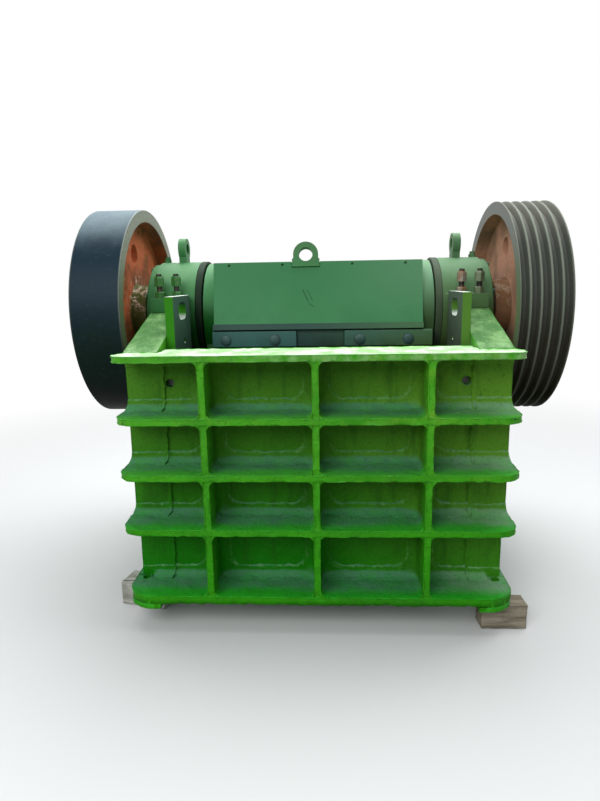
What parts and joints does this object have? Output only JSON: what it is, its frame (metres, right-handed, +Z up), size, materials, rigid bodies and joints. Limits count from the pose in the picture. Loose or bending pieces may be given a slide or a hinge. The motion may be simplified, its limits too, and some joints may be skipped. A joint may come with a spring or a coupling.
{
  "type": "jaw crusher",
  "caption": "Jaw crusher with a ribbed frame, a long narrow feed mouth, a swing jaw on an eccentric shaft, and a plain and a grooved flywheel.",
  "frame": {"origin": "on the ground under the middle of the bounding box", "axes": "+X towards the grooved pulley, +Y from the front wall to the rear, +Z up"},
  "size_m": [1.992, 1.53, 1.564],
  "materials": {
    "frame_paint": "thick glossy paint on a casting",
    "housing_paint": "glossy paint",
    "cheek_paint": "thin paint over steel",
    "wedge_paint": "thin dark paint",
    "seal_paint": "oily dark paint",
    "flywheel_paint": "worn dark paint",
    "pulley_paint": "worn dark paint",
    "jaw_steel": "as cast",
    "shaft_steel": "turned",
    "rod_steel": "dull",
    "pale_wood": "sawn, weathered",
    "tan_wood": "sawn, weathered"
  },
  "bodies": {
    "frame": {"front_wall": "frame_paint", "left_side_wall": "frame_paint", "right_side_wall": "frame_paint", "rear_wall": "frame_paint", "front_left_foot": "frame_paint", "front_right_foot": "frame_paint", "rear_left_foot": "frame_paint", "rear_right_foot": "frame_paint", "front_left_block": "pale_wood", "front_right_block": "tan_wood", "rear_left_block": "pale_wood", "rear_right_block": "tan_wood", "fixed_jaw_plate": "jaw_steel", "left_cheek_plate": "cheek_paint", "right_cheek_plate": "cheek_paint", "left_bearing_base": "housing_paint", "right_bearing_base": "housing_paint", "left_bearing_cap": "housing_paint", "right_bearing_cap": "housing_paint", "left_bearing": "shaft_steel", "right_bearing": "shaft_steel", "left_end_cover": "housing_paint", "right_end_cover": "housing_paint", "left_seal_ring": "seal_paint", "right_seal_ring": "seal_paint", "left_cap_studs": "rod_steel", "right_cap_studs": "rod_steel", "toggle_block": "jaw_steel", "toggle_plate": "jaw_steel"},
    "shaft": {"eccentric_shaft": "shaft_steel", "flywheel": "flywheel_paint", "grooved_pulley": "pulley_paint", "left_shaft_plate": "shaft_steel", "right_shaft_plate": "shaft_steel"},
    "jaw": {"swing_jaw": "housing_paint", "moving_jaw_plate": "jaw_steel", "barrel_guard": "housing_paint", "jaw_lip": "wedge_paint", "left_jaw_wedge": "wedge_paint", "right_jaw_wedge": "wedge_paint", "jaw_lifting_eye": "housing_paint", "front_toggle_seat": "jaw_steel", "tension_rod": "rod_steel", "tension_spring": "rod_steel", "spring_plate": "rod_steel"}
  },
  "joints": [
    {"name": "main_shaft_turn", "type": "hinge", "parent": "frame", "child": "shaft", "pos_m": [0, -0.025, 1.126], "axis": [1, 0, 0], "continuous": true},
    {"name": "jaw_on_eccentric", "type": "hinge", "parent": "shaft", "child": "jaw", "pos_m": [0, -0.025, 1.116], "axis": [1, 0, 0], "continuous": true}
  ],
  "couplings": [
    {"joint": "jaw_on_eccentric", "follows": "main_shaft_turn", "ratio": -1}
  ]
}
